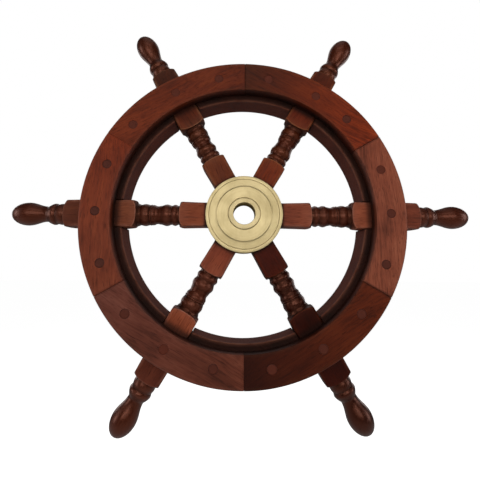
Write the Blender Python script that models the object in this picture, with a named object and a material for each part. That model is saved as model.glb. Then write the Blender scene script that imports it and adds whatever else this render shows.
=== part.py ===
"""A wooden ship's steering wheel with a brass hub, one object for each piece.

The wheel stands upright in the XZ plane, its front faces -Y and it turns about the Y axis.
The origin is the middle of the hub. Angles run anticlockwise from +X, seen from the front.

The rim is a sandwich of three layers: six front felloes, six middle felloes between the
spokes, and six back felloes. Wooden pegs run through all three layers. The spokes are let
into a wooden nave between two brass plates, which six screws draw together from the back.
The brass bush stays still on the shaft, and the wheel turns round it.
"""
import math

import bmesh
import bpy

MM = 0.001
GAP = 0.3 * MM                      # between pieces that touch

SPOKE_COUNT = 6
SPOKE_PITCH = 360 / SPOKE_COUNT     # degrees

# Rim
TIP_RADIUS = 228.6 * MM             # half of 18 inches, over the handles
RIM_OUTER = 154.2 * MM
RIM_INNER = 124.6 * MM
RIM_THICKNESS = 50.8 * MM
MIDDLE_INNER = 118.2 * MM           # the middle layer stands in past the two covers
SPOKE_HALF = 13.2 * MM              # half the square where a spoke passes the rim
COVER_BACK = SPOKE_HALF + GAP       # |Y| of a cover's inner face
COVER_FRONT = RIM_THICKNESS / 2     # |Y| of a cover's outer face
ARRIS = 1.6 * MM                    # bevel on the rim's outer edges
INNER_ARRIS = 1.2 * MM              # bevel on the middle layer's inner edges
COVER_STEPS = 8                     # straight steps along a cover felloe
MIDDLE_STEPS = 8

# Pegs through the rim: three to a felloe, and a few bored off their mark
PEG_RADIUS = 4.4 * MM
PEG_CIRCLE = 138.8 * MM
PEG_SPREAD = 20                     # degrees either side of a spoke
PEG_DRIFT = {20: -2, 40: 3, 60: -1, 100: 1, 140: 2, 160: 1, 220: 1, 260: -1, 320: -1}
PEG_SIDES = 10

# Spoke, along its own +X from the hub
SPOKE_START = 24.3 * MM
HUB_HALF = 11.6 * MM                # half the square inside the hub
ROOT_END = 40 * MM                  # where the square starts to widen
HUB_BLOCK_HALF = 12.2 * MM
HUB_SHOULDER = (60.8 * MM, 65 * MM)   # a rounded shoulder's square end and turned end
RIM_SHOULDER = (109 * MM, 105.2 * MM)
OUTER_SHOULDER = (170.4 * MM, 174.9 * MM)
OUTER_BLOCK_HALF = 12.7 * MM
CORNER_CUT = 1.5 * MM               # taken off the square's corners
SECTION_SIDES = 16

# Turned parts of the spoke: where each bead starts and ends, then its edge and crest radii
TURNED_RADIUS = 9.9 * MM
RIM_COLLAR_RADIUS = 11.6 * MM
HUB_BEADS = ((66 * MM, 73.2 * MM, 9.7 * MM, 10.75 * MM), (73.6 * MM, 82.6 * MM, 9.7 * MM, 10.9 * MM))
RIM_BEAD = (94.2 * MM, 102.5 * MM, 10.3 * MM, 11.2 * MM)
OUTER_BEADS = ((175.5 * MM, 183.4 * MM, 9.9 * MM, 10.5 * MM),
               (183.8 * MM, 189.4 * MM, 9.9 * MM, 10.65 * MM))
WAIST = (86.4 * MM, 9 * MM)         # a turned station: distance from the hub, radius
FILLET = (91 * MM, 10.4 * MM)
NECK = (193.8 * MM, 7.7 * MM)
GRIP = (213 * MM, 11.7 * MM)

# Hub
NAVE_RADIUS = 36 * MM
NAVE_BORE = 17.3 * MM
SLOT_START = SPOKE_START - GAP
PLATE_RADIUS = 37.3 * MM
PLATE_BACK = HUB_HALF + GAP         # |Y| of a plate's inner face
PLATE_BEVEL = 0.7 * MM
PLATE_FACE = -16.5 * MM             # Y of the front plate's outer band
DISC_RADIUS = 27.2 * MM             # its raised middle
DISC_FACE = -17.5 * MM
RING_GROOVE = 34.05 * MM            # a groove turned in the outer band
RING_GROOVE_SIZE = 0.45 * MM
BOSS_RADIUS = 17 * MM               # the front plate's spigot, inside the nave
BOSS_BORE = 13.3 * MM
BOSS_END = -2.2 * MM                # Y of the spigot's end
COLLAR_RADIUS = 15.4 * MM
COLLAR_BACK = -15.4 * MM            # Y of the bush collar's underside
BUSH_FRONT = -18.1 * MM
BUSH_BACK = 1.4 * MM
BUSH_BORE = 10.6 * MM
SLEEVE_RADIUS = 13 * MM
RING_BACK = -0.4 * MM               # the retaining ring sits in a groove in the sleeve
RING_FRONT = -1.8 * MM
GROOVE_RADIUS = 12.1 * MM
RING_RADIUS = 15.8 * MM
BACK_PLATE_BORE = 16.4 * MM
BACK_LIP_RADIUS = 20.7 * MM         # a low lip round the back plate's bore
BACK_LIP_FACE = 16.9 * MM
BUSH_BEVEL = 0.5 * MM
HUB_STEPS = 32

# Screws through the back plate and the spokes into the front plate
SCREW_CIRCLE = 30 * MM
SCREW_SHANK = 1.8 * MM
SCREW_HEAD = 3.4 * MM
SCREW_CROWN = 2 * MM
SCREW_HEAD_HEIGHT = 1.8 * MM
SCREW_END = -14.2 * MM              # Y of the tip
SCREW_SIDES = 10
BACK_PLATE_FACE = 16 * MM           # Y of the back plate's flat outer face


def clear_scene():
    for item in list(bpy.data.objects):
        bpy.data.objects.remove(item, do_unlink=True)


def make_material(name, colour, roughness, metallic=0.0):
    material = bpy.data.materials.new(name)
    material.use_nodes = True
    shader = material.node_tree.nodes["Principled BSDF"]
    shader.inputs["Base Color"].default_value = (*colour, 1)
    shader.inputs["Roughness"].default_value = roughness
    shader.inputs["Metallic"].default_value = metallic
    return material


def make_empty(name):
    empty = bpy.data.objects.new(name, None)
    bpy.context.scene.collection.objects.link(empty)
    return empty


def finish_mesh(bm, name, smooth_angle=40):
    bmesh.ops.recalc_face_normals(bm, faces=bm.faces)
    mesh = bpy.data.meshes.new(name)
    bm.to_mesh(mesh)
    bm.free()
    mesh.shade_smooth()
    mesh.set_sharp_from_angle(angle=math.radians(smooth_angle))
    return mesh


def add_object(name, mesh, material, parent, angle=0):
    """Places a mesh made about +X at an angle round the wheel."""
    item = bpy.data.objects.new(name, mesh)
    item.rotation_euler = (0, -math.radians(angle), 0)
    item.parent = parent
    item.data.materials.clear()
    item.data.materials.append(material)
    bpy.context.scene.collection.objects.link(item)
    return item


def add_cutter(name, mesh, angle):
    cutter = bpy.data.objects.new(name, mesh)
    cutter.rotation_euler = (0, -math.radians(angle), 0)
    cutter.hide_render = True
    cutter.display_type = "WIRE"
    bpy.context.scene.collection.objects.link(cutter)
    return cutter


def cut(item, cutter):
    modifier = item.modifiers.new(cutter.name, "BOOLEAN")
    modifier.operation = "DIFFERENCE"
    modifier.object = cutter


# Shapes

def lathe_mesh(name, profile, steps):
    """Turns a closed outline of (radius, y) points about the Y axis."""
    bm = bmesh.new()
    verts = [bm.verts.new((radius, y, 0)) for radius, y in profile]
    edges = [bm.edges.new((a, b)) for a, b in zip(verts, verts[1:] + verts[:1])]
    bmesh.ops.spin(bm, geom=verts + edges, cent=(0, 0, 0), axis=(0, 1, 0),
                   angle=math.tau, steps=steps, use_merge=True)
    return finish_mesh(bm, name)


def circle_points(centre_x, radius, y, sides):
    """A ring of points about an axis along Y. No point lies on the X or Z line through it."""
    turns = [math.tau * (k + 0.3) / sides for k in range(sides)]
    return [(centre_x + radius * math.cos(turn), y, radius * math.sin(turn)) for turn in turns]


def rod_mesh(name, centre_x, profile, sides):
    """A rod along Y with flat ends, from (radius, y) stations, whose axis crosses +X."""
    bm = bmesh.new()
    rings = [[bm.verts.new(point) for point in circle_points(centre_x, radius, y, sides)]
             for radius, y in profile]
    bm.faces.new(rings[0])
    bm.faces.new(rings[-1])
    for ring, following in zip(rings, rings[1:]):
        for k in range(sides):
            after = (k + 1) % sides
            bm.faces.new((ring[k], ring[after], following[after], following[k]))
    return finish_mesh(bm, name)


def box_mesh(name, low, high):
    bm = bmesh.new()
    bmesh.ops.create_cube(bm, size=1)
    for vert in bm.verts:
        for axis in range(3):
            vert.co[axis] = high[axis] if vert.co[axis] > 0 else low[axis]
    return finish_mesh(bm, name)


def arc_points(radius, start, end, steps):
    """Points in the XZ plane from one angle to another, both in radians."""
    turns = [start + (end - start) * k / steps for k in range(steps + 1)]
    return [(radius * math.cos(turn), radius * math.sin(turn)) for turn in turns]


def arc_block_mesh(name, inner, outer, low_y, high_y, bevel, chosen):
    """A block between two rows of XZ points, bevelled on the edges that chosen() picks."""
    bm = bmesh.new()
    rows = [[bm.verts.new((x, low_y, z)) for x, z in row] for row in (inner, outer)]
    faces = []
    for k in range(len(inner) - 1):
        faces.append(bm.faces.new((rows[0][k], rows[0][k + 1], rows[1][k + 1], rows[1][k])))
    result = bmesh.ops.extrude_face_region(bm, geom=faces)
    moved = [item for item in result["geom"] if isinstance(item, bmesh.types.BMVert)]
    bmesh.ops.translate(bm, verts=moved, vec=(0, high_y - low_y, 0))
    bmesh.ops.recalc_face_normals(bm, faces=bm.faces)
    edges = [edge for edge in bm.edges if chosen(*(vert.co for vert in edge.verts))]
    bmesh.ops.bevel(bm, geom=edges, offset=bevel, segments=1, affect="EDGES")
    return finish_mesh(bm, name)


def same_radius(a, b):
    """True where two points lie on one arc of the rim."""
    return abs(math.hypot(a.x, a.z) - math.hypot(b.x, b.z)) < 0.1 * MM


def cover_felloe_mesh(name, side):
    """A sixth of a cover ring, on the front (side -1) or the back (side +1)."""
    half = math.radians(SPOKE_PITCH / 2) - GAP / 2 / RIM_INNER
    inner = arc_points(RIM_INNER, -half, half, COVER_STEPS)
    outer = arc_points(RIM_OUTER, -half, half, COVER_STEPS)
    outer_face = side * COVER_FRONT

    def exposed(a, b):
        on_face = abs(a.y - outer_face) < GAP and abs(b.y - outer_face) < GAP
        return on_face and same_radius(a, b)

    low, high = sorted((side * COVER_BACK, outer_face))
    return arc_block_mesh(name, inner, outer, low, high, ARRIS, exposed)


def middle_felloe_mesh(name):
    """The middle layer between one spoke at 0 degrees and the next."""
    pitch = math.radians(SPOKE_PITCH)
    rows = []
    for radius in (MIDDLE_INNER, RIM_OUTER):
        trim = math.asin((SPOKE_HALF + GAP) / radius)
        rows.append(arc_points(radius, trim, pitch - trim, MIDDLE_STEPS))

    def inner_edge(a, b):
        return same_radius(a, b) and math.hypot(a.x, a.z) < RIM_INNER and abs(a.y - b.y) < GAP

    return arc_block_mesh(name, *rows, -SPOKE_HALF, SPOKE_HALF, INNER_ARRIS, inner_edge)


# The spoke's outline

def shoulder(square_end, turned_end, turned_radius, half, steps=3):
    """A quarter ellipse from the square's corner down to the turned part."""
    corner = half * math.sqrt(2)
    points = []
    for k in range(steps + 1):
        turn = math.pi / 2 * k / steps
        along = square_end + (turned_end - square_end) * math.sin(turn)
        points.append((along, turned_radius + (corner - turned_radius) * math.cos(turn)))
    return points


def bead(start, end, edge_radius, peak_radius, steps=2):
    """A half-round moulding."""
    points = []
    for k in range(steps + 1):
        turn = math.pi * k / steps
        along = (start + end) / 2 - (end - start) / 2 * math.cos(turn)
        points.append((along, edge_radius + (peak_radius - edge_radius) * math.sin(turn)))
    return points


def sweep(start, end, start_radius, end_radius, steps=3):
    """A smooth S-curve from one radius to another, without its first point."""
    points = []
    for k in range(1, steps + 1):
        part = k / steps
        ease = (1 - math.cos(math.pi * part)) / 2
        points.append((start + (end - start) * part,
                       start_radius + (end_radius - start_radius) * ease))
    return points


def round_end(start, end, radius, steps=3):
    """A quarter ellipse that closes the handle, without its first point or its pole."""
    turns = [math.pi / 2 * k / steps for k in range(1, steps)]
    return [(start + (end - start) * math.sin(turn), radius * math.cos(turn)) for turn in turns]


def turned_profile():
    """The lathe's outline of the whole spoke: (distance from the hub, radius)."""
    full_corner = SPOKE_HALF * math.sqrt(2)
    points = [(SPOKE_START, full_corner), (ROOT_END, full_corner)]
    points += shoulder(*HUB_SHOULDER, TURNED_RADIUS, HUB_BLOCK_HALF)
    for moulding in HUB_BEADS:
        points += bead(*moulding)
    last_bead = HUB_BEADS[-1]
    points += sweep(last_bead[1], WAIST[0], last_bead[2], WAIST[1], 1)
    points += sweep(WAIST[0], FILLET[0], WAIST[1], FILLET[1], 1)
    points += bead(*RIM_BEAD)
    points += reversed(shoulder(*RIM_SHOULDER, RIM_COLLAR_RADIUS, SPOKE_HALF))
    points += shoulder(*OUTER_SHOULDER, TURNED_RADIUS, OUTER_BLOCK_HALF)
    for moulding in OUTER_BEADS:
        points += bead(*moulding)
    points += sweep(OUTER_BEADS[-1][1], NECK[0], TURNED_RADIUS, NECK[1], 2)
    points += sweep(NECK[0], GRIP[0], NECK[1], GRIP[1], 3)
    points += round_end(GRIP[0], TIP_RADIUS, GRIP[1])
    return points


def square_half(along):
    """Half the width of the square stock at a distance from the hub."""
    stops = ((SPOKE_START, HUB_HALF), (ROOT_END, HUB_HALF), (HUB_SHOULDER[1], HUB_BLOCK_HALF),
             (RIM_SHOULDER[1], SPOKE_HALF), (RIM_OUTER, SPOKE_HALF),
             (OUTER_SHOULDER[1], OUTER_BLOCK_HALF), (TIP_RADIUS, OUTER_BLOCK_HALF))
    for (start, low), (end, high) in zip(stops, stops[1:]):
        if along <= end:
            return low + (high - low) * (along - start) / (end - start)
    return stops[-1][1]


def spoke_section(along, turned_radius):
    """Square stock with its corners cut, turned down to a radius where that is smaller."""
    half = square_half(along)
    corner = half * math.sqrt(2) - CORNER_CUT
    section = []
    for k in range(SECTION_SIDES):
        turn = math.tau * k / SECTION_SIDES
        flat = half / max(abs(math.cos(turn)), abs(math.sin(turn)))
        reach = min(turned_radius, flat, corner)
        section.append((along, reach * math.cos(turn), reach * math.sin(turn)))
    return section


def spoke_mesh(name):
    bm = bmesh.new()
    rings = [[bm.verts.new(point) for point in spoke_section(*station)]
             for station in turned_profile()]
    bm.faces.new(rings[0])
    for ring, following in zip(rings, rings[1:]):
        for k in range(SECTION_SIDES):
            after = (k + 1) % SECTION_SIDES
            bm.faces.new((ring[k], ring[after], following[after], following[k]))
    tip = bm.verts.new((TIP_RADIUS, 0, 0))
    for k in range(SECTION_SIDES):
        bm.faces.new((rings[-1][k], rings[-1][(k + 1) % SECTION_SIDES], tip))
    return finish_mesh(bm, name, 30)


# The hub's outlines, as (radius, y)

def front_plate_profile():
    counterbore = COLLAR_RADIUS + GAP
    seat = COLLAR_BACK + GAP
    return [
        (BOSS_RADIUS, BOSS_END), (BOSS_RADIUS, -PLATE_BACK), (PLATE_RADIUS, -PLATE_BACK),
        (PLATE_RADIUS, PLATE_FACE + PLATE_BEVEL), (PLATE_RADIUS - PLATE_BEVEL, PLATE_FACE),
        (RING_GROOVE + RING_GROOVE_SIZE, PLATE_FACE), (RING_GROOVE, PLATE_FACE + RING_GROOVE_SIZE),
        (RING_GROOVE - RING_GROOVE_SIZE, PLATE_FACE), (DISC_RADIUS, PLATE_FACE),
        (DISC_RADIUS, DISC_FACE), (counterbore, DISC_FACE), (counterbore, seat),
        (BOSS_BORE, seat), (BOSS_BORE, BOSS_END),
    ]


def back_plate_profile():
    return [
        (PLATE_RADIUS, PLATE_BACK), (PLATE_RADIUS, BACK_PLATE_FACE - PLATE_BEVEL),
        (PLATE_RADIUS - PLATE_BEVEL, BACK_PLATE_FACE), (BACK_LIP_RADIUS, BACK_PLATE_FACE),
        (BACK_LIP_RADIUS, BACK_LIP_FACE), (BACK_PLATE_BORE, BACK_LIP_FACE),
        (BACK_PLATE_BORE, PLATE_BACK),
    ]


def bush_profile():
    return [
        (BUSH_BORE, BUSH_BACK), (BUSH_BORE, BUSH_FRONT + BUSH_BEVEL),
        (BUSH_BORE + BUSH_BEVEL, BUSH_FRONT), (COLLAR_RADIUS - BUSH_BEVEL, BUSH_FRONT),
        (COLLAR_RADIUS, BUSH_FRONT + BUSH_BEVEL), (COLLAR_RADIUS, COLLAR_BACK),
        (SLEEVE_RADIUS, COLLAR_BACK), (SLEEVE_RADIUS, RING_FRONT - GAP),
        (GROOVE_RADIUS, RING_FRONT - GAP), (GROOVE_RADIUS, RING_BACK + GAP),
        (SLEEVE_RADIUS, RING_BACK + GAP), (SLEEVE_RADIUS, BUSH_BACK),
    ]


def screw_profile():
    """A round-head screw, from its tip to the top of its head."""
    top = BACK_PLATE_FACE + GAP
    return [
        (SCREW_SHANK, SCREW_END), (SCREW_SHANK, top), (SCREW_HEAD, top),
        (SCREW_HEAD, top + SCREW_HEAD_HEIGHT / 2), (SCREW_CROWN, top + SCREW_HEAD_HEIGHT),
    ]


# Assembly

def peg_angles():
    """Where the pegs stand, from the first spoke round the wheel."""
    nominal = []
    for spoke in range(SPOKE_COUNT):
        centre = spoke * SPOKE_PITCH
        nominal += [centre, centre + PEG_SPREAD, centre + SPOKE_PITCH - PEG_SPREAD]
    return [(angle, angle + PEG_DRIFT.get(round(angle), 0)) for angle in nominal]


def build_rim(wheel, wood, peg_wood):
    layers = {
        "front_felloe": (cover_felloe_mesh, -1),
        "back_felloe": (cover_felloe_mesh, 1),
    }
    covers = []
    for name, (make, side) in layers.items():
        mesh = make(name, side)
        for spoke in range(SPOKE_COUNT):
            covers.append(add_object(f"{name}_{spoke + 1}", mesh, wood, wheel,
                                     spoke * SPOKE_PITCH))
    mesh = middle_felloe_mesh("middle_felloe")
    middles = [add_object(f"middle_felloe_{spoke + 1}", mesh, wood, wheel, spoke * SPOKE_PITCH)
               for spoke in range(SPOKE_COUNT)]
    mesh = spoke_mesh("spoke")
    spokes = [add_object(f"spoke_{spoke + 1}", mesh, wood, wheel, spoke * SPOKE_PITCH)
              for spoke in range(SPOKE_COUNT)]

    hole_radius = PEG_RADIUS + GAP / math.cos(math.pi / PEG_SIDES)
    hole_reach = COVER_FRONT + PEG_RADIUS
    peg_ends = [(PEG_RADIUS, -COVER_FRONT), (PEG_RADIUS, COVER_FRONT)]
    hole_ends = [(hole_radius, -hole_reach), (hole_radius, hole_reach)]
    peg = rod_mesh("rim_peg", PEG_CIRCLE, peg_ends, PEG_SIDES)
    hole = rod_mesh("peg_hole", PEG_CIRCLE, hole_ends, PEG_SIDES)
    for number, (nominal, angle) in enumerate(peg_angles(), 1):
        add_object(f"rim_peg_{number:02d}", peg, peg_wood, wheel, angle)
        cutter = add_cutter(f"cut_peg_{number:02d}", hole, angle)
        nearest = round(nominal / SPOKE_PITCH) % SPOKE_COUNT
        for first in (0, SPOKE_COUNT):
            cut(covers[first + nearest], cutter)
        if nominal % SPOKE_PITCH == 0:
            cut(spokes[nearest], cutter)
        else:
            cut(middles[int(nominal // SPOKE_PITCH)], cutter)
    return spokes


def build_hub(wheel, shaft, spokes, wood, brass, steel):
    nave_profile = [(NAVE_BORE, -HUB_HALF), (NAVE_BORE, HUB_HALF),
                    (NAVE_RADIUS, HUB_HALF), (NAVE_RADIUS, -HUB_HALF)]
    nave = add_object("hub_nave", lathe_mesh("hub_nave", nave_profile, HUB_STEPS), wood, wheel)
    front = add_object("front_hub_plate",
                       lathe_mesh("front_hub_plate", front_plate_profile(), HUB_STEPS),
                       brass, wheel)
    back = add_object("back_hub_plate",
                      lathe_mesh("back_hub_plate", back_plate_profile(), HUB_STEPS),
                      brass, wheel)
    add_object("hub_bush", lathe_mesh("hub_bush", bush_profile(), HUB_STEPS), brass, shaft)
    ring_profile = [(GROOVE_RADIUS + GAP, RING_FRONT), (GROOVE_RADIUS + GAP, RING_BACK),
                    (RING_RADIUS, RING_BACK), (RING_RADIUS, RING_FRONT)]
    add_object("retaining_ring", lathe_mesh("retaining_ring", ring_profile, HUB_STEPS),
               steel, shaft)

    slot_half = HUB_HALF + GAP
    slot = box_mesh("nave_slot", (SLOT_START, -2 * HUB_HALF, -slot_half),
                    (2 * NAVE_RADIUS, 2 * HUB_HALF, slot_half))
    screw = rod_mesh("hub_screw", SCREW_CIRCLE, screw_profile(), SCREW_SIDES)
    hole_radius = SCREW_SHANK + GAP / math.cos(math.pi / SCREW_SIDES)
    hole_ends = [(hole_radius, SCREW_END - GAP), (hole_radius, 2 * BACK_PLATE_FACE)]
    hole = rod_mesh("screw_hole", SCREW_CIRCLE, hole_ends, SCREW_SIDES)
    for number, spoke in enumerate(spokes):
        angle = number * SPOKE_PITCH
        cut(nave, add_cutter(f"cut_slot_{number + 1}", slot, angle))
        add_object(f"hub_screw_{number + 1}", screw, brass, wheel, angle)
        cutter = add_cutter(f"cut_screw_{number + 1}", hole, angle)
        for item in (front, back, spoke):
            cut(item, cutter)


def main():
    clear_scene()
    wood = make_material("stained_wood", (0.13, 0.04, 0.025), 0.4)
    peg_wood = make_material("peg_wood", (0.1, 0.03, 0.02), 0.5)
    brass = make_material("brass", (0.67, 0.54, 0.28), 0.3, 1.0)
    steel = make_material("spring_steel", (0.35, 0.35, 0.36), 0.4, 1.0)
    wheel = make_empty("wheel_axis")
    shaft = make_empty("shaft_axis")
    spokes = build_rim(wheel, wood, peg_wood)
    build_hub(wheel, shaft, spokes, wood, brass, steel)


main()
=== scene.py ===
import math

import bmesh
import bpy
from mathutils import Euler, Matrix, Vector, noise


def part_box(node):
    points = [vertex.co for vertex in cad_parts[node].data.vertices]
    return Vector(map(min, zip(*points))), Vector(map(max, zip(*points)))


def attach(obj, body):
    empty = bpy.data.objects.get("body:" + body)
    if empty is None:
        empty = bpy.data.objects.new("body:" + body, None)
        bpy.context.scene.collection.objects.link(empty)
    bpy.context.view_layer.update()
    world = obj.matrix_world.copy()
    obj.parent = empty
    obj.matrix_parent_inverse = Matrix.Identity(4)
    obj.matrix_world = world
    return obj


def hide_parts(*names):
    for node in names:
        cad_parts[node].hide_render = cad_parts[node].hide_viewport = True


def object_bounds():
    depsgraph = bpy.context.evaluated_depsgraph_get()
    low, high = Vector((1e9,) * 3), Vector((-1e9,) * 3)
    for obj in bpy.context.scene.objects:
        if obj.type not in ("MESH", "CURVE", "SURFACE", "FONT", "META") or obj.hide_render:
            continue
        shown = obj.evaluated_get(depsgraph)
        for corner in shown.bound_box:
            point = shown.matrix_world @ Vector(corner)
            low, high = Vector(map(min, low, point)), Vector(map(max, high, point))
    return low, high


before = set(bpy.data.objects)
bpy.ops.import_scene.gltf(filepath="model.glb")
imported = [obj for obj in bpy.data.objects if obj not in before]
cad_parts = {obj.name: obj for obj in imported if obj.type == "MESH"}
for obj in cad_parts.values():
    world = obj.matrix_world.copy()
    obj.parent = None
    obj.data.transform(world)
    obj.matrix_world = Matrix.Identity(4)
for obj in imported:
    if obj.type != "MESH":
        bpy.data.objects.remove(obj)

CAD_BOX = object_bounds()
MM = 0.001
WHEEL = "wheel"
SHAFT = "shaft_bush"
SPOKES = 6
PITCH = math.tau / SPOKES
# Painted on each point: worn edges, with a painted highlight along the middle ring's inner arris;
# dirt, with painted shade in corners, grooves, recesses and bores; and thick lacquer.
PAINTS = ("wear_and_highlight", "grime_and_shade", "gloss")


def measure(cad):
    """(inner radius, outer radius, lowest Y, highest Y) of a CAD node, about the wheel's axis."""
    points = [vert.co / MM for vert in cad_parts[cad].data.vertices]
    radii = [math.hypot(point.x, point.z) for point in points]
    depths = [point.y for point in points]
    return min(radii), max(radii), min(depths), max(depths)


def middle(cad):
    """(radius, angle) of the middle of a CAD node's box, about the wheel's axis."""
    low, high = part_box(cad)
    centre = (low + high) / 2 / MM
    return math.hypot(centre.x, centre.z), math.atan2(centre.z, centre.x)


RIM_INNER, RIM_OUTER, RIM_FRONT, COVER_SEAM = measure("front_felloe_1")
MIDDLE_INNER, _, _, SPOKE_HALF = measure("middle_felloe_1")
SPOKE_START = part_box("spoke_1")[0].x / MM
SPOKE_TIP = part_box("spoke_1")[1].x / MM
PEG_CIRCLE = middle("rim_peg_01")[0]
SCREW_CIRCLE = middle("hub_screw_1")[0]
SCREW_SHANK = 1.8                   # radius
CLEARANCE = 0.12                    # round pegs and screws
GAP = 0.3                           # between a spoke and what holds it


# Mesh tools

def blend(low, high, value):
    """0 below low, 1 above high, and a smooth step between. low may be the larger."""
    part = min(1.0, max(0.0, (value - low) / (high - low)))
    return part * part * (3 - 2 * part)


def ripple(point, size, seed=0.0):
    """Smooth noise from 0 to 1 whose bumps are about size across."""
    return 0.5 + 0.5 * noise.noise(Vector(point) / size + Vector((seed, 7.3 * seed, 0)))


def skin(name, rings, closed=False, crease=40):
    """A surface over rings of equal counts, each point (x, y, z, wear and highlight, grime and
    shade, gloss).
    """
    count = len(rings[0])
    points = [point for ring in rings for point in ring]
    faces = []
    for row in range(len(rings) if closed else len(rings) - 1):
        base = row * count
        ahead = (row + 1) % len(rings) * count
        for k in range(count):
            after = (k + 1) % count
            faces.append((base + k, base + after, ahead + after, ahead + k))
    if not closed:
        faces.append(tuple(range(count)))
        faces.append(tuple(range(len(points) - count, len(points))))
    mesh = bpy.data.meshes.new(name)
    mesh.from_pydata([[c * MM for c in point[:3]] for point in points], [], faces)
    for slot, paint in enumerate(PAINTS):
        layer = mesh.attributes.new(paint, "FLOAT", "POINT")
        layer.data.foreach_set("value", [point[3 + slot] for point in points])
    bm = bmesh.new()
    bm.from_mesh(mesh)
    bmesh.ops.recalc_face_normals(bm, faces=bm.faces)
    bm.to_mesh(mesh)
    bm.free()
    smooth(mesh, crease)
    return mesh


def smooth(mesh, crease):
    mesh.shade_smooth()
    mesh.set_sharp_from_angle(angle=math.radians(crease))


def turned(name, outline, steps, paint=lambda radius, y: (0, 0, 0), crease=40):
    """Turns a closed outline of (radius, y) about the Y axis."""
    rings = []
    for k in range(steps):
        turn = math.tau * k / steps
        rings.append([(radius * math.cos(turn), y, radius * math.sin(turn), *paint(radius, y))
                      for radius, y in outline])
    return skin(name, rings, closed=True, crease=crease)


def rod(name, stations, sides):
    """A rod along Y through (radius, y) or (radius, y, wear, grime, gloss) stations."""
    turns = [math.tau * (k + 0.3) / sides for k in range(sides)]
    rings = []
    for radius, y, *paint in stations:
        rings.append([(radius * math.cos(turn), y, radius * math.sin(turn), *(paint or (0, 0, 0)))
                      for turn in turns])
    return skin(name, rings)


def block(name, low, high):
    """A plain box between two corners, for cutting slots."""
    corners = ((low[1], low[2]), (high[1], low[2]), (high[1], high[2]), (low[1], high[2]))
    rings = [[(x, y, z, 0, 0, 0) for y, z in corners] for x in (low[0], high[0])]
    return skin(name, rings)


def fillet(centre, radius, start, end, steps):
    """Points on an arc in the (radius, y) plane, by degrees."""
    turns = [math.radians(start + (end - start) * k / steps) for k in range(steps + 1)]
    return [(centre[0] + radius * math.cos(turn), centre[1] + radius * math.sin(turn))
            for turn in turns]


def carve(mesh, tools, crease):
    """Cuts each tool, (mesh, turn, place), out of a mesh and returns what is left."""
    item = bpy.data.objects.new("carved", mesh)
    scratch = [item]
    for tool, turn, at in tools:
        cutter = bpy.data.objects.new("cutter", tool)
        cutter.rotation_euler = (0, -turn, 0)
        cutter.location = Vector(at) * MM
        modifier = item.modifiers.new("cut", "BOOLEAN")
        modifier.operation = "DIFFERENCE"
        modifier.object = cutter
        scratch.append(cutter)
    for thing in scratch:
        bpy.context.scene.collection.objects.link(thing)
    depsgraph = bpy.context.evaluated_depsgraph_get()
    cut = bpy.data.meshes.new_from_object(item.evaluated_get(depsgraph))
    for thing in scratch:
        bpy.data.objects.remove(thing)
    smooth(cut, crease)
    return cut


def place(name, mesh, material, stands_for, body, angle=0.0, at=(0, 0, 0), tools=(), crease=40):
    """Adds a piece in a CAD node's stead: moved to its place, then turned about the axis.

    The piece keeps where each point was before the move as "rest", which its material reads,
    so that grain follows the piece and not the wheel."""
    mesh = carve(mesh, tools, crease) if tools else mesh.copy()
    mesh.name = name
    flat = [0.0] * (3 * len(mesh.vertices))
    mesh.vertices.foreach_get("co", flat)
    mesh.attributes.new("rest", "FLOAT_VECTOR", "POINT").data.foreach_set("vector", flat)
    mesh.transform(Matrix.Rotation(-angle, 4, "Y") @ Matrix.Translation(Vector(at) * MM))
    mesh.materials.clear()
    mesh.materials.append(material)
    item = bpy.data.objects.new(name, mesh)
    bpy.context.scene.collection.objects.link(item)
    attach(item, body)
    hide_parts(stands_for)
    return item


def on_circle(radius, angle):
    return radius * math.cos(angle), 0, radius * math.sin(angle)


# Node tools

def node(tree, kind, inputs=None, **settings):
    item = tree.nodes.new(kind)
    for name, value in settings.items():
        setattr(item, name, value)
    for name, value in (inputs or {}).items():
        if isinstance(value, bpy.types.NodeSocket):
            tree.links.new(value, item.inputs[name])
        else:
            item.inputs[name].default_value = value
    return item


def calc(tree, operation, first, second=0.0, clamp=False):
    item = node(tree, "ShaderNodeMath", {0: first, 1: second}, operation=operation)
    item.use_clamp = clamp
    return item.outputs[0]


def mix(tree, factor, first, second, how="MIX"):
    """Blends two colours, which are a Mix node's sockets 6 and 7, into its output 2."""
    item = node(tree, "ShaderNodeMix", {0: factor, 6: first, 7: second},
                data_type="RGBA", blend_type=how)
    item.clamp_factor = True
    return item.outputs[2]


def spread(tree, value, low, high, new_low=0.0, new_high=1.0):
    """Maps low..high to new_low..new_high, clamped."""
    inputs = {"Value": value, "From Min": low, "From Max": high,
              "To Min": new_low, "To Max": new_high}
    return node(tree, "ShaderNodeMapRange", inputs).outputs[0]


def grainy(tree, vector, scale, detail=2.0, roughness=0.5):
    inputs = {"Vector": vector, "Scale": scale, "Detail": detail, "Roughness": roughness}
    return node(tree, "ShaderNodeTexNoise", inputs).outputs[0]


def painted(tree, name):
    return node(tree, "ShaderNodeAttribute", attribute_name=name).outputs["Fac"]


def at_rest(tree):
    """Where a point was in its piece's own frame."""
    return node(tree, "ShaderNodeAttribute", attribute_name="rest").outputs["Vector"]


def ramp(tree, value, stops):
    """A colour ramp through (position, colour) stops."""
    item = node(tree, "ShaderNodeValToRGB", {"Fac": value})
    elements = item.color_ramp.elements
    while len(elements) < len(stops):
        elements.new(0.5)
    for element, (position, colour) in zip(elements, stops):
        element.position = position
        element.color = (*colour, 1)
    return item.outputs[0]


def new_material(name):
    material = bpy.data.materials.new(name)
    material.use_nodes = True
    return material, material.node_tree, material.node_tree.nodes["Principled BSDF"]


# Wood

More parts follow.
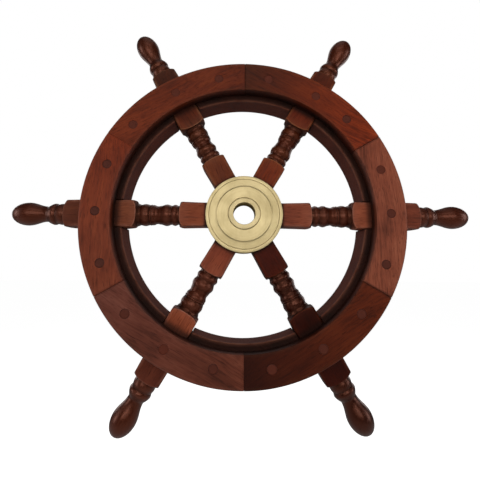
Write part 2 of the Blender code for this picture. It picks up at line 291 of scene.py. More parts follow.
WOOD_DARK = (0.062, 0.0092, 0.003)
WOOD_MAIN = (0.172, 0.029, 0.0105)
WOOD_LIGHT = (0.255, 0.052, 0.02)
WOOD_TURNED = (0.046, 0.0074, 0.0026)
WOOD_WORN_AND_HIGHLIGHT = (0.36, 0.15, 0.1)
# near-black brown for pores, dirt and painted shade
WOOD_GRIME_AND_SHADE = (0.008, 0.002, 0.0011)
FLAT_SHEEN = (0.22, 0.19, 0.175)
LACQUER_SHEEN = (1.0, 0.34, 0.2)
STRETCH = 0.05                      # the grain's scale along the wood, beside that across it
PORE_DEPTH = 0.00008                # metres


def tinted(colour, tint):
    return tuple(c * t for c, t in zip(colour, tint))


def shaded(colour, amount):
    return tuple(c * amount for c in colour)


def fibre_space(tree, local, along):
    """A piece's own space with a slow wander in it, drawn out along X, Y or Z."""
    wander = node(tree, "ShaderNodeTexNoise", {"Vector": local, "Scale": 14.0, "Detail": 1.0})
    wander = node(tree, "ShaderNodeVectorMath",
                  {0: wander.outputs["Color"], 1: (0.012, 0.012, 0.012)}, operation="MULTIPLY")
    bent = node(tree, "ShaderNodeVectorMath", {0: local, 1: wander.outputs[0]}, operation="ADD")
    scale = [1.0, 1.0, 1.0]
    scale["XYZ".index(along)] = STRETCH
    return node(tree, "ShaderNodeMapping",
                {"Vector": bent.outputs[0], "Scale": scale}).outputs[0]


def swing(tree, value, amount):
    """How far a noise is from its middle, scaled."""
    return calc(tree, "MULTIPLY", calc(tree, "SUBTRACT", value, 0.5), amount)


def stain_and_sheen_tint(tree, along, stain_and_sheen, reach, handle_shade):
    """The tint of stain and painted sheen, from one end of reach to the other and then over the
    handle.
    """
    place_along = node(tree, "ShaderNodeSeparateXYZ", {"Vector": at_rest(tree)}).outputs[along]
    part = spread(tree, place_along, reach[0] * MM, reach[1] * MM)
    near, far = stain_and_sheen
    tint = mix(tree, part, (*near, 1), (*far, 1))
    if handle_shade < 1:
        held = spread(tree, place_along, RIM_INNER * MM, RIM_OUTER * MM)
        tint = mix(tree, held, tint, (*shaded(near, handle_shade), 1))
    return tint


def stained_wood(name, along, stain_and_sheen, reach, figure=1.0, offset=0.0, handle_shade=1.0):
    """Stained and lacquered hardwood, with its grain along the piece's own X, Y or Z.

    The third argument is the tint at each end of reach, a stretch along the grain in millimetres:
    stain, with painted sheen where it turns paler and greyer.
    handle_shade darkens what lies outside the rim, where hands have been."""
    material, tree, shader = new_material(name)
    local = node(tree, "ShaderNodeMapping",
                 {"Vector": at_rest(tree),
                  "Location": (offset, offset * 0.7, offset * 1.3)}).outputs[0]
    fibres = fibre_space(tree, local, along)
    bands = grainy(tree, fibres, 70.0, 2.0)
    streaks = grainy(tree, fibres, 480.0, 5.0, 0.65)
    pores = spread(tree, grainy(tree, fibres, 1900.0, 1.0), 0.57, 0.68)
    patches = grainy(tree, local, 26.0, 3.0, 0.6)

    tone = 0.5
    for value, amount in ((bands, 0.7 * figure), (streaks, 1.15 * figure), (patches, 0.9)):
        tone = calc(tree, "ADD", tone, swing(tree, value, amount))
    colour = ramp(tree, tone, [(0.12, WOOD_DARK), (0.5, WOOD_MAIN), (0.95, WOOD_LIGHT)])
    colour = mix(tree, 1.0, colour, stain_and_sheen_tint(tree, along, stain_and_sheen, reach, handle_shade),
                 "MULTIPLY")
    colour = mix(tree, calc(tree, "MULTIPLY", pores, 0.48), colour, (*WOOD_GRIME_AND_SHADE, 1))

    # Thick lacquer, worn and highlighted edges and the sheen are darker where the tint is darker.
    gloss = painted(tree, "gloss")
    deep = [min(1.0, (near + far) / 2) for near, far in zip(*stain_and_sheen)]
    colour = mix(tree, calc(tree, "MULTIPLY", gloss, 0.96), colour,
                 (*tinted(WOOD_TURNED, deep), 1))
    # Worn edges lighten the wood, and so does the highlight painted along the middle ring's inner
    # arris.
    rubbed = spread(tree, grainy(tree, local, 90.0, 3.0, 0.6), 0.25, 0.65, 0.3, 1.0)
    wear_and_highlight = calc(tree, "MULTIPLY", painted(tree, "wear_and_highlight"), rubbed)
    colour = mix(tree, calc(tree, "MULTIPLY", wear_and_highlight, 0.75), colour, (*tinted(WOOD_WORN_AND_HIGHLIGHT, deep), 1))
    # Dirt, and shade painted into corners, grooves and recesses, darken the wood towards a
    # near-black brown.
    grime_and_shade = calc(tree, "MULTIPLY", painted(tree, "grime_and_shade"),
                 spread(tree, patches, 0.3, 0.6, 0.75, 1.0))
    colour = mix(tree, grime_and_shade, colour, (*WOOD_GRIME_AND_SHADE, 1))
    tree.links.new(colour, shader.inputs["Base Color"])

    rough = spread(tree, streaks, 0.3, 0.7, 0.5, 0.66)
    rough = calc(tree, "ADD", rough, calc(tree, "MULTIPLY", pores, 0.15))
    rough = calc(tree, "SUBTRACT", rough, calc(tree, "MULTIPLY", gloss, 0.24), clamp=True)
    tree.links.new(rough, shader.inputs["Roughness"])
    flat_sheen = shaded(FLAT_SHEEN, 0.45 + 0.55 * sum(deep) / 3)
    tree.links.new(mix(tree, gloss, (*flat_sheen, 1), (*LACQUER_SHEEN, 1)),
                   shader.inputs["Specular Tint"])
    shader.inputs["Specular IOR Level"].default_value = 1.0
    shader.inputs["IOR"].default_value = 1.45
    clean = calc(tree, "SUBTRACT", 1.0, painted(tree, "grime_and_shade"), clamp=True)
    coat = calc(tree, "MULTIPLY", calc(tree, "MULTIPLY", gloss, clean), 0.08)
    tree.links.new(coat, shader.inputs["Coat Weight"])
    shader.inputs["Coat Roughness"].default_value = 0.22
    shader.inputs["Coat IOR"].default_value = 1.5

    height = calc(tree, "SUBTRACT", calc(tree, "MULTIPLY", streaks, 0.5), pores)
    bump = node(tree, "ShaderNodeBump",
                {"Height": height, "Distance": PORE_DEPTH, "Strength": 0.6})
    tree.links.new(bump.outputs[0], shader.inputs["Normal"])
    return material


def peg_wood(name):
    """A peg's end grain: darker than the rim, with rings about its own axis.

    The first painted value on a peg is how far the rim's stain hides it."""
    material, tree, shader = new_material(name)
    local = at_rest(tree)
    flat = node(tree, "ShaderNodeMapping", {"Vector": local, "Scale": (1, STRETCH, 1)}).outputs[0]
    shifted = node(tree, "ShaderNodeMapping",
                   {"Vector": flat, "Location": (0.004, 0, 0.006)}).outputs[0]
    rings = node(tree, "ShaderNodeTexWave",
                 {"Vector": shifted, "Scale": 320.0, "Distortion": 3.0, "Detail": 2.0},
                 wave_type="RINGS", rings_direction="Y").outputs["Fac"]
    pores = spread(tree, grainy(tree, flat, 2600.0, 1.0), 0.58, 0.68)
    patches = grainy(tree, local, 160.0, 2.0)
    colour = ramp(tree, calc(tree, "ADD", calc(tree, "MULTIPLY", rings, 0.3), patches),
                  [(0.35, (0.05, 0.011, 0.006)), (0.9, (0.11, 0.026, 0.014))])
    colour = mix(tree, calc(tree, "MULTIPLY", pores, 0.48), colour, (*WOOD_GRIME_AND_SHADE, 1))
    colour = mix(tree, calc(tree, "MULTIPLY", painted(tree, "wear_and_highlight"), 0.85), colour,
                 (*shaded(WOOD_MAIN, 0.75), 1))
    colour = mix(tree, painted(tree, "grime_and_shade"), colour, (*WOOD_GRIME_AND_SHADE, 1))
    tree.links.new(colour, shader.inputs["Base Color"])
    tree.links.new(spread(tree, patches, 0.3, 0.7, 0.5, 0.62), shader.inputs["Roughness"])
    shader.inputs["Specular IOR Level"].default_value = 0.18
    bump = node(tree, "ShaderNodeBump", {"Height": pores, "Distance": PORE_DEPTH, "Strength": 0.7})
    bump.invert = True
    tree.links.new(bump.outputs[0], shader.inputs["Normal"])
    return material


# Metal

def turned_metal(name, colour, dull, roughness, lines=1.0):
    """Metal off the lathe: fine rings about the wheel's axis, faint scratches, tarnish, and painted
    shade where its piece paints it.
    """
    material, tree, shader = new_material(name)
    local = at_rest(tree)
    flat = node(tree, "ShaderNodeVectorMath", {0: local, 1: (1, 0, 1)}, operation="MULTIPLY")
    radius = node(tree, "ShaderNodeVectorMath", {0: flat.outputs[0]}, operation="LENGTH")
    rings = node(tree, "ShaderNodeTexNoise",
                 {"W": radius.outputs["Value"], "Scale": 3200.0, "Detail": 3.0},
                 noise_dimensions="1D").outputs[0]
    coarse = node(tree, "ShaderNodeTexNoise",
                  {"W": radius.outputs["Value"], "Scale": 620.0, "Detail": 2.0},
                  noise_dimensions="1D").outputs[0]
    stretched = node(tree, "ShaderNodeMapping",
                     {"Vector": local, "Rotation": (0, 0.6, 0), "Scale": (1, 1, 0.03)})
    scratches = spread(tree, grainy(tree, stretched.outputs[0], 1500.0, 1.0), 0.64, 0.7)
    smudges = grainy(tree, local, 55.0, 3.0, 0.6)
    tarnish = spread(tree, smudges, 0.45, 0.75)
    grime_and_shade = painted(tree, "grime_and_shade")

    shade = mix(tree, calc(tree, "MULTIPLY", tarnish, 0.35), (*colour, 1), (*dull, 1))
    shade = mix(tree, spread(tree, coarse, 0.35, 0.65, 0.0, 0.18), shade, (*dull, 1))
    # Darkens to near black where the piece has shade painted into grooves, wells and bores.
    shade = mix(tree, grime_and_shade, shade, (*tinted(dull, (0.12, 0.1, 0.08)), 1))
    tree.links.new(shade, shader.inputs["Base Color"])
    shader.inputs["Metallic"].default_value = 1.0
    shader.inputs["Specular Tint"].default_value = (*tinted(colour, (1.2, 1.15, 1.1)), 1)
    rough = spread(tree, smudges, 0.3, 0.7, roughness - 0.05, roughness + 0.07)
    rough = calc(tree, "ADD", rough, calc(tree, "MULTIPLY", scratches, 0.08))
    rough = calc(tree, "ADD", rough, calc(tree, "MULTIPLY", grime_and_shade, 0.25), clamp=True)
    tree.links.new(rough, shader.inputs["Roughness"])
    height = calc(tree, "ADD", calc(tree, "MULTIPLY", rings, lines),
                  calc(tree, "MULTIPLY", coarse, 1.5 * lines))
    height = calc(tree, "SUBTRACT", height, calc(tree, "MULTIPLY", scratches, 0.4))
    bump = node(tree, "ShaderNodeBump",
                {"Height": height, "Distance": 0.00003, "Strength": 0.5})
    tree.links.new(bump.outputs[0], shader.inputs["Normal"])
    return material


BRASS = ((0.67, 0.545, 0.29), (0.52, 0.4, 0.18))           # bright and dull
BUSH_BRASS = ((0.65, 0.53, 0.29), BRASS[1])
STEEL = ((0.3, 0.3, 0.31), (0.12, 0.11, 0.1))

# A red, green and blue tint at each board's two ends, anticlockwise, and at each spoke's hub end
# and rim end.
# They hold the stain, and painted sheen where they turn paler and greyer at the sides; they also
# darken towards the top and the bottom.
BOARD_REACH = (-70, 70)
BOARD_STAINS_AND_SHEEN = (((1.75, 2.5, 3.3), (1.8, 2.5, 3.3)), ((1.8, 1.2, 0.5), (0.4, 0.45, 0.35)),
                ((0.85, 0.7, 0.45), (1.2, 1.05, 0.75)), ((1.35, 1.05, 0.7), (1.25, 1.45, 1.6)),
                ((0.95, 1.45, 2.5), (0.95, 1.3, 1.8)), ((0.16, 0.11, 0.1), (0.9, 0.75, 0.42)))
SPOKE_REACH = (45, 110)
SPOKE_STAINS_AND_SHEEN = (((1.42, 1.65, 1.9), (2.4, 3.3, 3.9)), ((1.3, 1.0, 0.45), (0.95, 0.7, 0.5)),
                ((0.9, 0.96, 0.62), (0.88, 0.87, 0.68)), ((1.6, 1.9, 1.8), (1.35, 1.9, 2.0)),
                ((1.4, 1.45, 1.6), (2.4, 3.1, 3.3)), ((0.42, 0.18, 0.07), (0.22, 0.09, 0.04)))
PLAIN_STAIN = ((0.8, 0.8, 0.8),) * 2
MIDDLE_STAIN = ((0.62, 0.56, 0.5),) * 2
# How light each spoke's handle is beside its hub end
HANDLE_SHADES = (0.95, 0.62, 0.48, 0.45, 0.5, 0.6)
# The joint after each felloe: its width, and how much dirt it holds
JOINTS = ((0.2, 0.5), (0.08, 0.3), (0.02, 0.02), (0.2, 0.3), (0.05, 0.1), (0.2, 0.6))


# Rim

def rounded_outline(corners, spacing):
    """A closed outline through (radius, y, rounding, wear and highlight) corners, as (radius, y,
    wear and highlight).
    """
    points = []
    for index, (across, deep, rounding, wear_and_highlight) in enumerate(corners):
        corner = Vector((across, deep))
        before = Vector(corners[index - 1][:2])
        after = Vector(corners[(index + 1) % len(corners)][:2])
        back = (before - corner).normalized()
        ahead = (after - corner).normalized()
        centre = corner + (back + ahead) * rounding
        for k in range(5):
            turn = math.pi / 2 * k / 4
            spot = centre - (ahead * math.cos(turn) + back * math.sin(turn)) * rounding
            points.append((*spot, wear_and_highlight))
        run_start = corner + ahead * rounding
        run_end = after - ahead * corners[(index + 1) % len(corners)][2]
        steps = max(1, round((run_end - run_start).length / spacing))
        for k in range(1, steps):
            points.append((*run_start.lerp(run_end, k / steps), 0))
    return points


def felloe_rings(outline, grime_and_shade_at, span, steps, seed, darkness=(0.8, 0.8)):
    """Rings of an arc block, a little uneven and with its ends' edges taken off.

    span(radius) gives the start and end angle there, and darkness how much dirt the two end
    joints hold."""
    across = [point[0] for point in outline]
    deep = [point[1] for point in outline]
    mid_across = (min(across) + max(across)) / 2
    mid_deep = (min(deep) + max(deep)) / 2
    half_across = max(across) - mid_across
    half_deep = max(deep) - mid_deep
    rings = []
    for step in range(-1, steps + 2):
        part = min(steps, max(0, step)) / steps
        dirt_and_shade = darkness[0] if part < 0.5 else darkness[1]
        inset = 0.3 if step in (-1, steps + 1) else 0.0
        ring = []
        for radius, y, wear_and_highlight in outline:
            start, end = span(radius)
            turn = start + (end - start) * part
            if step in (0, steps):
                turn += (0.3 if step == 0 else -0.3) / radius
            here = (radius * math.cos(turn), y, radius * math.sin(turn))
            loose = 0.25 * ripple(here, 45, seed)
            moved = radius - (loose + inset) * (radius - mid_across) / half_across
            sunk = y - (0.5 * loose + inset) * (y - mid_deep) / half_deep
            from_end = min(part, 1 - part) * (end - start) * radius
            grime_and_shade = max(grime_and_shade_at(radius, y), dirt_and_shade * blend(1.4, 0.0, from_end))
            ring.append((moved * math.cos(turn), sunk, moved * math.sin(turn), wear_and_highlight, grime_and_shade, 0.12))
        rings.append(ring)
    return rings


def cover_felloe(name, side, seed, joints):
    """A cover board. joints gives how wide and how dark it is at its start and its end."""
    start = -PITCH / 2 + joints[0][0] / 2 / RIM_INNER
    end = PITCH / 2 - joints[1][0] / 2 / RIM_INNER
    face = -side * RIM_FRONT
    seam = -side * COVER_SEAM
    corners = [(RIM_INNER, face, 0.6, 0.12), (RIM_OUTER, face, 1.6, 0.15),
               (RIM_OUTER, seam, 0.4, 0.2), (RIM_INNER, seam, 0.4, 0)]

    def grime_and_shade_at(radius, y):
        # Painted shade on the board's inner wall, deeper away from its face.
        wall_shade = blend(RIM_INNER + 0.8, RIM_INNER + 0.3, radius)
        return wall_shade * (0.45 + 0.55 * blend(abs(face) - 1, abs(face) - 8, abs(y)))

    outline = rounded_outline(corners, 2.4)
    darkness = (joints[0][1], joints[1][1])
    return skin(name, felloe_rings(outline, grime_and_shade_at, lambda radius: (start, end), 72, seed,
                                   darkness))


def middle_felloe(name, seed):
    """A board of the middle ring, between one spoke and the next."""
    # The inner corners' wear values are wear together with a painted highlight along the arris.
    corners = [(MIDDLE_INNER, -SPOKE_HALF, 0.9, 0.9), (RIM_OUTER, -SPOKE_HALF, 0.3, 0),
               (RIM_OUTER, SPOKE_HALF, 0.3, 0), (MIDDLE_INNER, SPOKE_HALF, 0.9, 0.6)]

    def grime_and_shade_at(radius, y):
        # Painted shade on the ledge that the cover boards overhang and on the faces hidden between
        # them, clear of the rounded inner edge, over a little dirt everywhere.
        hidden = blend(RIM_OUTER - 0.5, RIM_OUTER - 3, radius)
        return 0.1 + 0.9 * hidden * blend(MIDDLE_INNER + 0.3, MIDDLE_INNER + 1.3, radius)

    def span(radius):
        trim = math.asin((SPOKE_HALF + GAP) / radius)
        return trim, PITCH - trim

    outline = rounded_outline(corners, 2.4)
    return skin(name, felloe_rings(outline, grime_and_shade_at, span, 60, seed))


# Spokes

CORNER_ROUND = 1.5
CREASE = 0.55                       # half the width of the softened edge at a shoulder
ROOT_HALF = 11.6                    # half the square inside the hub
HANDLE_WIDEST = 212.5               # how far out the handle is thickest
HANDLE_RADIUS = 11.5                # its radius there
FOLDS = (0, 8, 16, 24, 31, 37, 41, 42.5, 44)      # degrees from the middle of a face
# Half the square along the spoke
SQUARE_STOPS = ((SPOKE_START, ROOT_HALF), (40, ROOT_HALF), (65, 12.2), (103.4, SPOKE_HALF),
                (RIM_OUTER, SPOKE_HALF), (175, 12.7), (SPOKE_TIP, 12.7))
# Shoulders: square end, turned end, turned radius, half the square, and the curve's power
HUB_SHOULDER = (60.8, 65, 9.7, 12.15, 2.0)
RIM_SHOULDER = (109.0, 105.2, 11.6, SPOKE_HALF, 1.7)
OUTER_SHOULDER = (170.4, 174.9, 9.9, 12.75, 1.8)
# How far the turner strayed at each spoke's hub end and rim end
HUB_STRAY = (2.0, -2.2, 0.7, -1.3, 0.2, 0.6)
RIM_STRAY = (0.7, 0.3, -1.3, -0.5, 0.4, -0.8)
BACK_STRAY = 11.0                   # the rim's shoulders are cut further back behind


def spoke_turns():
    """Angles round a spoke, closer together near the square's corners."""
    quarter = [-fold for fold in reversed(FOLDS[1:])] + list(FOLDS) + [45]
    return [math.radians(90 * side + fold) for side in range(4) for fold in quarter]


def square_half(along):
    for (start, low), (end, high) in zip(SQUARE_STOPS, SQUARE_STOPS[1:]):
        if along <= end:
            return low + (high - low) * (along - start) / (end - start)
    return SQUARE_STOPS[-1][1]


def square_reach(half, turn):
    """How far the rounded square's outline is from its middle."""
    fold = abs((turn + math.pi / 4) % (math.pi / 2) - math.pi / 4)
    inner = half - CORNER_ROUND
    if math.tan(fold) <= inner / half:
        return half / math.cos(fold)
    off = fold - math.pi / 4
    across = math.sqrt(2) * inner
    return across * math.cos(off) + math.sqrt(CORNER_ROUND ** 2 - (across * math.sin(off)) ** 2)


def bead(start, end, edge, peak, steps=10, dirt_and_shade=0.7):
    """A softly rounded moulding, as (along, radius, wear and highlight, grime and shade), darker at
    its feet with dirt and painted shade in the grooves.
    """
    points = []
    for k in range(steps + 1):
        lift = math.sin(math.pi * k / steps) ** 1.4
        points.append((start + (end - start) * k / steps, edge + (peak - edge) * lift,
                       0.1 * lift, dirt_and_shade * (1 - lift) ** 2))
    return points


def sweep(start, end, start_radius, end_radius, steps, grime_and_shade=(0.2, 0.2)):
    """A smooth S-curve from one radius to another, without its first point."""
    points = []
    for k in range(1, steps + 1):
        part = k / steps
        ease = (1 - math.cos(math.pi * part)) / 2
        points.append((start + (end - start) * part,
                       start_radius + (end_radius - start_radius) * ease,
                       0, grime_and_shade[0] + (grime_and_shade[1] - grime_and_shade[0]) * part))
    return points


def inner_turning():
    """The turned length between hub and rim. Its fourth values are dirt and painted shade, darkest
    in the grooves and in the corners by the shoulders.
    """
    points = [(65.6, 9.6, 0, 1), (66.3, 9.6, 0, 0.8)]
    points += bead(66.6, 73.0, 9.6, 10.75)
    points += bead(73.2, 82.6, 9.6, 10.95, 12)
    points += sweep(82.6, 86.4, 9.6, 9.0, 5, (0.15, 0.1))
    points += sweep(86.4, 90.4, 9.0, 10.3, 6, (0.1, 0.2))
    points += [(90.9, 10.3, 0.3, 0.1), (91.2, 9.9, 0, 1), (91.6, 9.95, 0, 0.9)]
    points += bead(91.7, 93.3, 10.2, 10.55, 5)
    points += [(93.5, 10.0, 0, 1), (94.0, 10.1, 0, 0.9)]
    points += bead(94.2, 102.5, 10.35, 11.2, 11)
    points += [(102.8, 10.4, 0, 1), (104.0, 10.9, 0, 1), (105.0, 11.5, 0, 1)]
    return points


def handle_turning():
    """The turned length outside the rim, to the tip. Its fourth values are dirt and painted shade,
    darkest in the corner by the shoulder and in the neck's grooves.
    """
    points = [(175.2, 9.8, 0, 1)]
    points += bead(175.5, 183.4, 9.9, 10.55)
    points += [(183.6, 9.7, 0, 0.8)]
    points += bead(183.8, 189.4, 9.9, 10.7, 8)
    points += sweep(189.4, 193.8, 9.6, 7.7, 6, (0.5, 0.2))
    points += sweep(193.8, HANDLE_WIDEST, 7.7, HANDLE_RADIUS, 14, (0.2, 0.0))
    steps = 14
    for k in range(1, steps):
        turn = math.pi / 2 * k / steps
        points.append((HANDLE_WIDEST + (SPOKE_TIP - HANDLE_WIDEST) * math.sin(turn),
                       HANDLE_RADIUS * math.cos(turn), 0, 0))
    points.append((SPOKE_TIP, 0.4, 0, 0))
    return points


def shoulder_column(shoulder, turn, steps=7):
    """One column of points from the flat over the crease to the turned end."""
    square_end, turned_end, radius, half, power = shoulder
    if shoulder is RIM_SHOULDER:
        power -= 0.7 * blend(-0.7, 0.7, math.cos(turn))
    reach = square_reach(half, turn)
    corner = square_reach(half, math.pi / 4)
    height = min(1, (reach - radius) / (corner - radius))
    length = turned_end - square_end
    side = math.copysign(1, length)
    rub = 0.35 if shoulder is OUTER_SHOULDER else 1
    crease = square_end + length * (1 - height ** power) ** (1 / power)
    before = crease - side * 2 * CREASE
    points = [(before, square_reach(square_half(crease), turn), 0.2 * rub, 0, 0.1),
              (crease - side * CREASE, reach - 0.02, 0.9 * rub, 0, 0.1),
              (crease, reach - 0.14, rub, 0, 0.2)]
    for k in range(1, steps + 1):
        level = height * (1 - k / steps)
        along = square_end + length * (1 - level ** power) ** (1 / power)
        # Painted shade, with dirt, deepening into the corner where the square meets the turning.
        points.append((along, radius + (corner - radius) * level, 0, 0.45 + 0.55 * k / steps, 0.7))
    return points


def flat_column(stops, turn):
    """Points along the square stock, as (along, reach, wear and highlight, grime and shade, gloss).
    """
    fold = abs((math.degrees(turn) + 45) % 90 - 45)
    points = []
    for along in stops:
        # Painted shade where the spoke runs under the hub plate and under the front ring, inside
        # the rim, and at the outer block's foot beside the rim.
        grime_and_shade = max(blend(41, 37, along), 0.95 * blend(116.5, 123.5, along))
        if along > RIM_OUTER:
            grime_and_shade = 0.8 * blend(RIM_OUTER + 2, RIM_OUTER, along)
        points.append((along, square_reach(square_half(along), turn),
                       0.6 * blend(38, 43, fold), grime_and_shade, 0.1))
    return points


def spoke_column(turn):
    """Every point along a spoke at one angle round it, as (along, reach, wear and highlight, grime
    and shade, gloss).
    """
    column = flat_column((SPOKE_START, 30, 36, 38, 40, 42, 46, 50, 54), turn)
    column += shoulder_column(HUB_SHOULDER, turn)
    column += [(*point, 1) for point in inner_turning()]
    column += reversed(shoulder_column(RIM_SHOULDER, turn))
    column += flat_column((114, 116, 118, 120, 122, 124, 127, 131, 135, 139, 143, 147, 151,
                           RIM_OUTER - 0.8, RIM_OUTER, 156, 160, 165), turn)
    column += shoulder_column(OUTER_SHOULDER, turn)
    column += [(*point, 1) for point in handle_turning()]
    return column


def spoke_mesh(name, hub_stray, rim_stray, seed):
    """A whole spoke, whose shoulders lie a little off their places and whose sides are uneven."""
    columns = [(turn, spoke_column(turn)) for turn in spoke_turns()]
    rings = []
    for row in range(len(columns[0][1])):
        ring = []
        for turn, column in columns:
            along, reach, wear_and_highlight, grime_and_shade, gloss = column[row]
            stray = hub_stray * blend(44, 58, along) * blend(92, 74, along)
            stray += rim_stray * blend(74, 92, along) * blend(118, 108, along)
            behind = blend(-0.7, 0.7, math.cos(turn))
            stray += BACK_STRAY * behind * blend(104, 109, along) * blend(130, 109, along)
            here = (along, reach * math.cos(turn), reach * math.sin(turn))
            reach -= 0.2 * ripple(here, 22, seed) * blend(0, 8, reach)
            ring.append((along + stray, reach * math.cos(turn), reach * math.sin(turn),
                         wear_and_highlight, grime_and_shade, gloss))
        rings.append(ring)
    return skin(name, rings, crease=50)


# Pegs

PEG_NEAREST, PEG_FARTHEST, _, _ = measure("rim_peg_01")
PEG_RADIUS = (PEG_FARTHEST - PEG_NEAREST) / 2
PEG_SIDES = 40
# How far the stain hides each peg's end, in the order of the pegs' numbers
PEG_FADE = (0.7, 0.95, 0.6, 0.9, 0.9, 0.7, 0.85, 0.75, 0.3,
            0.2, 0.2, 0.55, 0.9, 0.5, 0.8, 0.6, 0.65, 0.45)


def peg_mesh(name, fade):
    """A peg through the rim whose ends are dressed flush, a little rounded at the edge."""
    clear = 1 - 0.85 * fade
    profile = ((0.12, 0.2, 0), (0.1, 0.5, 0), (0.06, 0.75, 0.1),
               (0.08, 0.9, 0.3), (0.25, 1.0, 0.7), (1.2, 1.0, 0.9))
    front = [(reach * PEG_RADIUS, RIM_FRONT + sunk, fade, grime_and_shade * clear, 0)
             for sunk, reach, grime_and_shade in profile]
    back = [(radius, -y, *paint) for radius, y, *paint in reversed(front)]
    return rod(name, front + back, PEG_SIDES)


def drill(radius, at, angle=0.0):
    """A tool for carve(): a hole along Y, at a distance out along an angle."""
    mesh = rod("drill", [(radius + CLEARANCE, RIM_FRONT - 3), (radius + CLEARANCE, -RIM_FRONT + 3)],
               PEG_SIDES)
    return mesh, 0, on_circle(at, angle)


def near_pegs(pegs, angle, low, high):
    """Peg holes whose angle from a given one lies between low and high, in degrees."""
    found = []
    for peg in pegs:
        off = math.degrees((peg - angle + math.pi) % math.tau - math.pi)
        if low < off < high:
            found.append(drill(PEG_RADIUS, PEG_CIRCLE, math.radians(off)))
    return found


def build_pegs():
    """Adds the pegs and returns their angles round the wheel."""
    finish = peg_wood("peg_end")
    pegs = []
    for number, fade in enumerate(PEG_FADE, 1):
        cad = f"rim_peg_{number:02d}"
        angle = middle(cad)[1]
        pegs.append(angle)
        place(f"{cad}_end_grain", peg_mesh(cad, fade), finish, cad, WHEEL, angle,
              (PEG_CIRCLE, 0, 0))
    return pegs


def build_boards(n, pegs, middle_wood):
    """Adds a sixth of each of the three rings."""
    angle = n * PITCH
    holes = near_pegs(pegs, angle, -30, 30)
    for side, label in ((-1, "front"), (1, "back")):
        cad = f"{label}_felloe_{n + 1}"
        wood = stained_wood(f"wood_{label}_{n + 1}", "Z", BOARD_STAINS_AND_SHEEN[n], BOARD_REACH, 1.0,
                            0.37 * n + 0.11 * side)
        mesh = cover_felloe(cad, side, n + side, (JOINTS[n - 1], JOINTS[n]))
        place(f"{cad}_board", mesh, wood, cad, WHEEL, angle, tools=holes)
    cad = f"middle_felloe_{n + 1}"
    place(f"{cad}_board", middle_felloe(cad, n + 20), middle_wood, cad, WHEEL, angle,
          tools=near_pegs(pegs, angle, 10, 50))


def build_spoke(n, pegs):
    angle = n * PITCH
    cad = f"spoke_{n + 1}"
    wood = stained_wood(f"wood_spoke_{n + 1}", "X", SPOKE_STAINS_AND_SHEEN[n], SPOKE_REACH, 0.7,
                        5 + 0.61 * n, HANDLE_SHADES[n])
    holes = near_pegs(pegs, angle, -4, 4) + [drill(SCREW_SHANK, SCREW_CIRCLE)]
    place(f"{cad}_turning", spoke_mesh(cad, HUB_STRAY[n], RIM_STRAY[n], n + 40), wood,
          cad, WHEEL, angle, tools=holes, crease=50)


def build_rim():
    middle_wood = stained_wood("wood_middle", "Z", MIDDLE_STAIN, BOARD_REACH, 0.8, 2.1)
    pegs = build_pegs()
    for n in range(SPOKES):
        build_boards(n, pegs, middle_wood)
        build_spoke(n, pegs)


def build_nave():
    """The hub's wooden centre, slotted for the spokes' roots."""
    inner, outer, low, high = measure("hub_nave")
    mesh = turned("nave", [(inner, low), (outer, low), (outer, high), (inner, high)], 144)
    wood = stained_wood("wood_nave", "X", PLAIN_STAIN, BOARD_REACH, 0.8, 3.3)
    half = ROOT_HALF + GAP
    slot = block("nave_slot", (SPOKE_START - GAP, low - 5, -half), (outer + 5, high + 5, half))
    place("hub_nave_block", mesh, wood, "hub_nave", WHEEL,
          tools=[(slot, n * PITCH, (0, 0, 0)) for n in range(SPOKES)])


# Hub

def front_plate():
    """The plate whose face shows: a groove near its edge, a raised middle and a well."""
    _, outer, _, back = measure("front_hub_plate")
    back_face = -11.9
    groove = 34.05
    outline = [(17, back), (17, back_face), (outer - 0.3, back_face), (outer, back_face - 0.3)]
    outline += fillet((outer - 0.25, -16.15), 0.25, 0, -85, 4)
    outline += [(34.5, -16.5), (34.3, -16.46), (34.15, -16.2), (groove, -16.0), (33.95, -16.2),
                (33.8, -16.52), (33.6, -16.54), (30.5, -16.6), (27.6, -16.66), (27.3, -16.72),
                (26.4, -17.4), (26.25, -17.48), (25.8, -17.5), (24, -17.52), (20, -17.56),
                (16.3, -17.59), (15.8, -17.6), (15.52, -17.35), (15.52, -15.1), (13.3, -15.1),
                (13.3, back)]

    def paint(radius, y):
        # Painted shade in the groove and inside the well round the bush.
        groove_shade = blend(0.3, 0.1, abs(radius - groove)) * blend(-16.5, -16.1, y)
        well_shade = blend(15.75, 15.6, radius) * blend(-17.4, -16.9, y)
        return 0, max(0.25 * groove_shade, 0.4 * well_shade), 0

    return turned("front_plate", outline, 192, paint, crease=25)


def back_plate():
    """The rear plate, domed at its edge, with a raised boss round the shaft."""
    inner, outer, low, high = measure("back_hub_plate")
    outline = [(outer, low + 0.3), (outer, 14.4)]
    outline += fillet((outer - 1.6, 14.4), 1.6, 0, 90, 7)
    outline += [(31, 16), (26, 16), (21.6, 16), (21.3, 16.1), (20.8, high - 0.3),
                (20.5, high), (inner + 0.4, high), (inner, high - 0.4), (inner, low),
                (outer - 0.3, low)]

    def paint(radius, y):
        # Painted shade at the boss's foot and inside the bore.
        return 0, 0.5 * blend(0.5, 0.1, abs(radius - 21.4)) + 0.8 * blend(17, 16.5, radius), 0

    return turned("back_plate", outline, 192, paint, crease=25)


